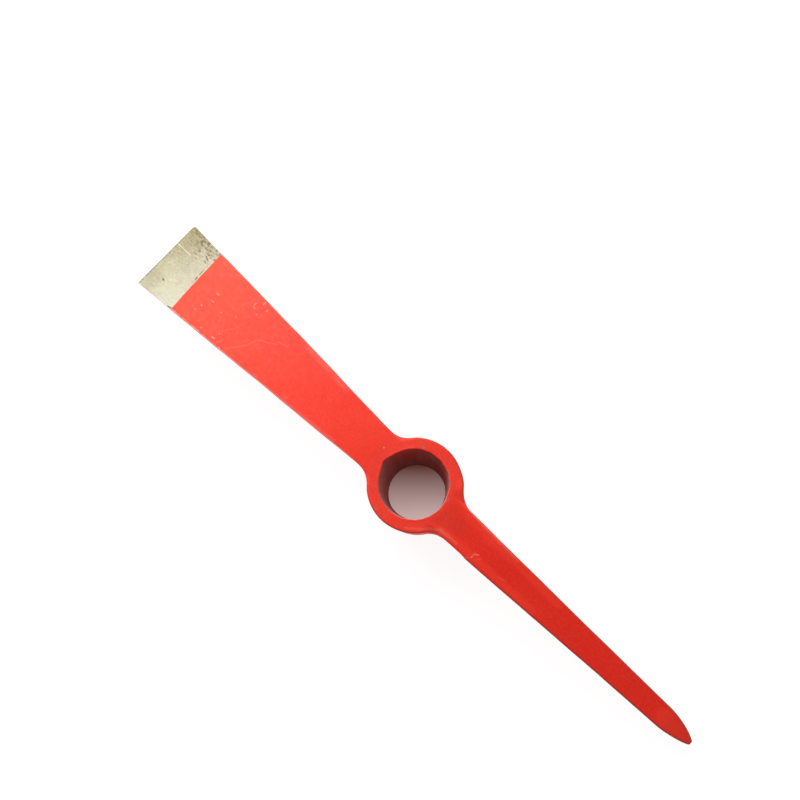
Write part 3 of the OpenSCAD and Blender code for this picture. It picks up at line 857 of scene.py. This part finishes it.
WRINKLES = (
    (-168.4, -20.8, -162.8, -13.8, 1.0), (-162.8, -13.8, -157.8, -7.4, 1.0),
    (-157.8, -7.4, -155.8, -1.1, 1.0), (-154.4, 0.6, -147.9, 3.4, 1.0),
    (-147.9, 3.4, -142.1, 6.9, 1.0), (-142.9, 8.8, -134.8, 10.9, 1.0),
    (-181.0, -14.7, -173.6, -4.2, 0.5), (-173.6, -4.2, -171.2, 3.9, 0.5),
    (-177.8, -24.0, -175.0, -18.5, 1.8), (-180.9, 2.5, -178.4, 1.6, 1.0),
    (61.8, -13.2, 64.1, -10.0, 1.0), (64.1, -10.0, 64.5, -6.3, 1.0), (64.5, -6.3, 67.2, -5.1, 1.4),
    (67.8, -8.9, 69.7, -5.7, 0.6), (87.0, -6.9, 92.4, -5.6, 0.6), (-118.4, 19.6, -116.6, 19.4, 2.2),
    (-139.0, -20.4, -136.6, -20.0, 2.0), (-111.4, -17.3, -109.4, -16.9, 2.0),
    (-216.7, 25.7, -213.3, 24.5, 1.6), (-210.5, 23.8, -208.7, 26.3, 1.6),
    (-206.4, 21.4, -204.2, 21.2, 1.4))
# Painted highlights along the ridges from the eye onto the pick and along the blade's long edges.
RIDGE_SHEENS = (
    (16.7, -26.7, 23.9, -21.0, 1.6), (23.9, -21.0, 30.0, -15.2, 2.0),
    (30.0, -15.2, 35.5, -10.9, 2.0), (35.5, -10.9, 42.4, -10.1, 2.8),
    (42.4, -10.1, 50.0, -9.9, 2.0), (40.0, 13.4, 54.8, 12.0, 1.8), (54.8, 12.0, 72.4, 11.2, 2.0),
    (72.4, 11.2, 90.0, 10.9, 1.5), (-124.0, 21.0, -82.0, 17.6, 5.0),
    (-149.0, -24.6, -106.9, -20.5, 4.0), (-106.9, -20.5, -63.4, -17.1, 4.0),
    (-216.0, 31.7, -124.0, 25.3, 7.0))
# Painted highlights on the pick's rounded flanks and near its tip.
FLANK_SHEENS = (
    (23.2, 21.7, 32.4, 14.9, 5.0), (32.4, 14.9, 44.0, 11.5, 6.0), (44.0, 11.5, 59.2, 10.5, 8.0),
    (59.2, 10.5, 85.0, 9.5, 8.0), (85.0, 9.5, 130.0, 8.5, 6.0), (26.6, -14.2, 36.0, -10.5, 5.0),
    (36.0, -10.5, 53.7, -9.6, 7.0), (53.7, -9.6, 80.6, -9.2, 7.0), (80.6, -9.2, 120.0, -8.0, 6.0),
    (238.0, 1.4, 263.0, 1.8, 14.0))
# Painted shade in the middle of the pick's top by the eye.
VALLEY_SHADE = ((22.6, -12.5, 28.9, -3.8, 8.0), (28.9, -3.8, 42.0, -0.7, 13.0))
CHIPS = (
    (-18.2, 26.3, -15.2, 24.7, 0.8), (-15.2, 24.7, -12.0, 22.8, 1.0),
    (-51.0, 17.2, -44.6, 16.0, 1.5), (-10.3, -29.8, -7.3, -30.9, 1.2),
    (-4.1, -32.7, -1.9, -33.5, 0.9), (10.1, 23.9, 14.2, 21.0, 1.0), (14.2, 21.0, 19.8, 16.6, 1.0),
    (24.6, 10.5, 25.2, 6.2, 0.6), (25.2, 6.2, 24.4, -4.2, 0.5))
CRACKS = ((-50.4, -4.0, -47.6, 2.4, 0.5), (-47.1, 3.9, -43.9, 9.7, 0.6))
STAINS = (
    (-243.0, -13.4, -241.8, -13.9, 1.2), (-223.4, 2.1, -223.6, 4.0, 1.0),
    (-223.9, 6.3, -223.8, 11.5, 0.5), (-224.6, -26.0, -222.0, -25.4, 0.8),
    (-230.5, 20.0, -227.5, 19.0, 0.9), (-229.0, 16.6, -226.5, 16.0, 0.7))
SCRATCHES = ((-254.3, 13.3, -240.0, 12.8, 0.35), (-237.9, -9.6, -237.2, -9.9, 0.4))


def white_paper(stage):
    """Matt white paper under the head. Seen straight or in a reflection it glows nearly white by
    itself and shows a share of its shadow, and it throws light back as plain paper. In the bore the
    glow is a painted shadow, dim and reddened as by light off the wall, most of all under the lamp's
    side, which is (-0.67, 0.72) in plan."""
    material, tree = blank("matt_white_paper")
    node = partial(add, tree)
    path = node("LightPath").node.outputs
    seen = path["Is Camera Ray"]
    for ray in ("Is Glossy Ray", "Is Transmission Ray"):
        seen = node("Math.MAXIMUM", (seen, path[ray]))
    place = node("TexCoord", out="Object")
    across = node("VectorMath.DOT_PRODUCT", (place, (0.67, -0.72, 0.0)), "Value")
    across = node("MapRange", (across, -0.020, 0.017))
    outside = node("VectorMath.LENGTH", (place,), "Value")
    outside = node("MapRange", (outside, 0.021, 0.028), interpolation_type="SMOOTHSTEP")
    glow = (*stage.bore_near, 1.0)
    for share, shade in ((across, stage.bore_far), (outside, stage.floor_lift)):
        glow = node("Mix", {0: share, 6: glow, 7: (*shade, 1.0)}, 2, data_type="RGBA")
    tone = node("Mix", {0: seen, 6: (*stage.floor, 1.0), 7: (*stage.floor_shade, 1.0)}, 2, data_type="RGBA")
    paper = node("BsdfDiffuse", {"Color": tone})
    white = node("Emission", (glow, seen))
    node("OutputMaterial", (node("AddShader", (paper, white)),))
    return material


# The name of each finish slot's material, and what makes it.
FINISHES = {"red_paint": ("red_alkyd_enamel", red_enamel),
            "bare_steel": ("ground_carbon_steel", ground_steel)}


def dress(piece, node, slot, finish):
    """Gives a piece the material of its finish slot, made at its first use, hangs it on the root body,
    and hides the CAD node that it stands for."""
    name, make = FINISHES[slot]
    piece.data.materials.append(bpy.data.materials.get(name) or make(finish))
    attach(piece, "root")
    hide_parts(node)


class MATTOCK_OT_eye(bpy.types.Operator):
    """Makes the enamelled eye with the roots of both arms"""
    bl_idname = "mattock.eye"
    bl_label = "Eye"

    def execute(self, context):
        scene = context.scene
        piece = eye_skin(scene.mattock_eye, scene.mattock_blade, scene.mattock_pick, scene.mattock_forge)
        dress(piece, "eye", "red_paint", scene.mattock_finish)
        return {"FINISHED"}


class MATTOCK_OT_blade(bpy.types.Operator):
    """Makes the enamelled blade, from its neck to the edge of the paint"""
    bl_idname = "mattock.blade"
    bl_label = "Blade"

    def execute(self, context):
        scene = context.scene
        eye, blade = scene.mattock_eye, scene.mattock_blade
        x = np.linspace(blade.joint, blade.bare_start, BLADE_ROWS)[:, None]
        rows = blade_section(eye, blade, BLADE_LOOP, x)
        # The last rows turn, as far as the edge of the paint runs askew.
        turned = ease(line(x, blade.bare_start - SKEW_RUN, 0.0, blade.bare_start, 1.0))
        rows[..., 0] -= turned * blade.paint_skew / blade.edge_width * rows[..., 1]
        piece = lofted("blade_forging", rows, BLADE_LOOP, scene.mattock_forge, turned=True)
        dress(piece, "blade", "red_paint", scene.mattock_finish)
        return {"FINISHED"}


class MATTOCK_OT_cutting_edge(bpy.types.Operator):
    """Makes the bare ground steel at the end of the blade, with the bevel under it"""
    bl_idname = "mattock.cutting_edge"
    bl_label = "Cutting edge"

    def execute(self, context):
        scene = context.scene
        eye, blade = scene.mattock_eye, scene.mattock_blade
        x = np.linspace(blade.bare_start, blade.reach, EDGE_ROWS)[:, None]
        rows = blade_section(eye, blade, BLADE_LOOP, x)
        # The bevel lifts the underside in a straight line, and all round the steel lies a coat's
        # thickness deeper.
        bevel = np.maximum(0.0, line(x, blade.reach - blade.bevel, 0.0, blade.reach,
                                     blade.edge_thickness - blade.land))
        high, low = rows[..., 2].max(1, keepdims=True), rows[..., 2].min(1, keepdims=True)
        rows[..., 2] += bevel * ((high - rows[..., 2]) / (high - low))
        high, low = rows[..., 1:].max(1, keepdims=True), rows[..., 1:].min(1, keepdims=True)
        middle, half = (high + low) / 2.0, (high - low) / 2.0
        rows[..., 1:] = middle + (rows[..., 1:] - middle) * (1.0 - blade.paint / half)
        # The corners of the edge are worn to quarter circles, one less than the other, and the ends
        # run askew.
        for sign, worn in ((-1.0, blade.worn_corner), (1.0, LESS_WORN * blade.worn_corner)):
            past = np.clip((x - blade.reach + worn) / worn, 0.0, 1.0)
            inward = worn * (1.0 - np.sqrt(1.0 - past ** 2))
            rows[..., 1] -= inward * np.maximum(0.0, sign * rows[..., 1]) / (blade.edge_width / 2.0) * sign
        skew = line(x, blade.bare_start, -blade.paint_skew, blade.reach, blade.skew)
        rows[..., 0] += skew / blade.edge_width * rows[..., 1]
        piece = lofted("ground_edge", rows, BLADE_LOOP, scene.mattock_forge, turned=True)
        dress(piece, "cutting_edge", "bare_steel", scene.mattock_finish)
        return {"FINISHED"}


class MATTOCK_OT_pick_arm(bpy.types.Operator):
    """Makes the enamelled pick, from its root to the start of its point"""
    bl_idname = "mattock.pick_arm"
    bl_label = "Pick arm"

    def execute(self, context):
        scene = context.scene
        eye, pick = scene.mattock_eye, scene.mattock_pick
        x = np.linspace(pick.joint, pick.point_start, PICK_ROWS)[:, None]
        rows = pick_section(eye, pick, PICK_LOOP, x)
        piece = lofted("pick_forging", rows, PICK_LOOP, scene.mattock_forge)
        dress(piece, "pick_arm", "red_paint", scene.mattock_finish)
        return {"FINISHED"}


class MATTOCK_OT_pick_point(bpy.types.Operator):
    """Makes the enamelled point of the pick"""
    bl_idname = "mattock.pick_point"
    bl_label = "Pick point"

    def execute(self, context):
        scene = context.scene
        eye, pick = scene.mattock_eye, scene.mattock_pick
        # Width and thickness are powers of the sine of what is left of the point's length, and the
        # top falls by a share of the thickness that is lost.
        left = np.linspace(1.0, 0.0, POINT_ROWS)[:, None] ** 2
        x = pick.reach - left * (pick.reach - pick.point_start)
        swell = np.sin(left * math.pi / 2.0)
        half = line(swell ** WIDTH_POWER, 0.0, pick.tip, 1.0, pick.nose_width) / 2.0
        thick = line(swell ** THICKNESS_POWER, 0.0, pick.tip, 1.0, pick.nose_thickness)
        top = (top_line(eye, x, pick.slope_start, pick.point_start, pick.drop, pick.bend)
               - TOP_SHARE * (pick.nose_thickness - thick))
        aside = swayed(pick, x) - pick.hook * (1.0 - left) ** 3
        rows = section(PICK_LOOP, x, half, top, thick, 3 * [pick.edge_round], 0.0, eye.draft, aside)
        piece = lofted("pick_tip", rows, PICK_LOOP, scene.mattock_forge)
        dress(piece, "pick_point", "red_paint", scene.mattock_finish)
        return {"FINISHED"}


class MATTOCK_OT_stage(bpy.types.Operator):
    """Makes the pale floor, the even light with one large soft lamp, and the camera"""
    bl_idname = "mattock.stage"
    bl_label = "Stage"

    def execute(self, context):
        scene, stage = context.scene, context.scene.mattock_stage
        scene.view_settings.view_transform = "Standard"
        # White walls all round that are bright low down and dim overhead.
        world = bpy.data.worlds.new("white_walls")
        world.use_nodes = True
        world.node_tree.nodes.clear()
        node = partial(add, world.node_tree)
        rise = node("SeparateXYZ", (node("TexCoord", out="Generated"),), "Z")
        glow = node("MapRange", (rise, 0.0, 0.75, stage.walls, stage.overhead),
                    interpolation_type="SMOOTHSTEP")
        node("OutputWorld", (node("Background", ((1.0, 1.0, 1.0, 1.0), glow)),))
        scene.world = world

        side = np.linspace(-FLOOR_HALF, FLOOR_HALF, 3)
        x, y = np.meshgrid(side, side, indexing="ij")
        points = np.stack([x, y, np.zeros_like(x)], -1).reshape(-1, 3)
        grid = np.arange(len(points)).reshape(x.shape)
        quads = np.stack([grid[:-1, :-1], grid[1:, :-1], grid[1:, 1:], grid[:-1, 1:]], -1).reshape(-1, 4)
        mesh = bpy.data.meshes.new("floor_sheet")
        mesh.from_pydata(points.tolist(), [], quads.tolist())
        mesh.materials.append(white_paper(stage))
        floor = bpy.data.objects.new("floor_sheet", mesh)
        context.collection.objects.link(floor)

        lamp = bpy.data.lights.new("soft_lamp", "AREA")
        lamp.shape, lamp.size, lamp.energy = "DISK", stage.key_size, stage.key
        holder = bpy.data.objects.new("soft_lamp", lamp)
        turn, rise = stage.key_turn, stage.key_height
        holder.location = stage.key_far * Vector((
            math.cos(rise) * math.cos(turn), math.cos(rise) * math.sin(turn), math.sin(rise)))
        holder.rotation_euler = (-holder.location).to_track_quat("-Z", "Y").to_euler()
        holder.visible_camera = False
        context.collection.objects.link(holder)

        lens = bpy.data.cameras.new("camera")
        lens.lens, lens.sensor_width, lens.clip_start, lens.clip_end = stage.lens, 36.0, 0.01, 50.0
        camera = bpy.data.objects.new("camera", lens)
        right, up = Vector(stage.camera_right).normalized(), Vector(stage.camera_up).normalized()
        turn = Matrix((right, up, right.cross(up))).transposed().to_4x4()
        camera.matrix_world = Matrix.Translation(stage.camera_place) @ turn
        context.collection.objects.link(camera)
        scene.camera = camera
        return {"FINISHED"}


class MATTOCK_PT_panel(bpy.types.Panel):
    """Lists the operators that make the head and its stage"""
    bl_idname = "MATTOCK_PT_panel"
    bl_label = "Pick mattock head"
    bl_space_type = "VIEW_3D"
    bl_region_type = "UI"
    bl_category = "Mattock"

    def draw(self, context):
        for operator in OPERATORS:
            self.layout.operator(operator.bl_idname)
        for group in GROUPS:
            settings = getattr(context.scene, group)
            box = self.layout.box()
            for name in settings.__annotations__:
                box.prop(settings, name)


OPERATORS = (MATTOCK_OT_stage, MATTOCK_OT_eye, MATTOCK_OT_blade, MATTOCK_OT_cutting_edge, MATTOCK_OT_pick_arm,
             MATTOCK_OT_pick_point)
GROUPS = {"mattock_eye": EyeSizes, "mattock_blade": BladeSizes, "mattock_pick": PickSizes,
          "mattock_forge": ForgeMarks, "mattock_finish": HeadFinish, "mattock_stage": StageSettings}


def register():
    for group in (*GROUPS.values(), *OPERATORS, MATTOCK_PT_panel):
        bpy.utils.register_class(group)
    for name, group in GROUPS.items():
        setattr(bpy.types.Scene, name, PointerProperty(type=group))


def unregister():
    for name in GROUPS:
        delattr(bpy.types.Scene, name)
    for group in reversed((*GROUPS.values(), *OPERATORS, MATTOCK_PT_panel)):
        bpy.utils.unregister_class(group)


def main():
    """Makes the stage and the pieces in order."""
    register()
    # The stage comes first, and the pieces follow from the eye outwards.
    bpy.ops.mattock.stage()
    bpy.ops.mattock.eye()
    bpy.ops.mattock.blade()
    bpy.ops.mattock.cutting_edge()
    bpy.ops.mattock.pick_arm()
    bpy.ops.mattock.pick_point()


if __name__ == "__main__":
    main()
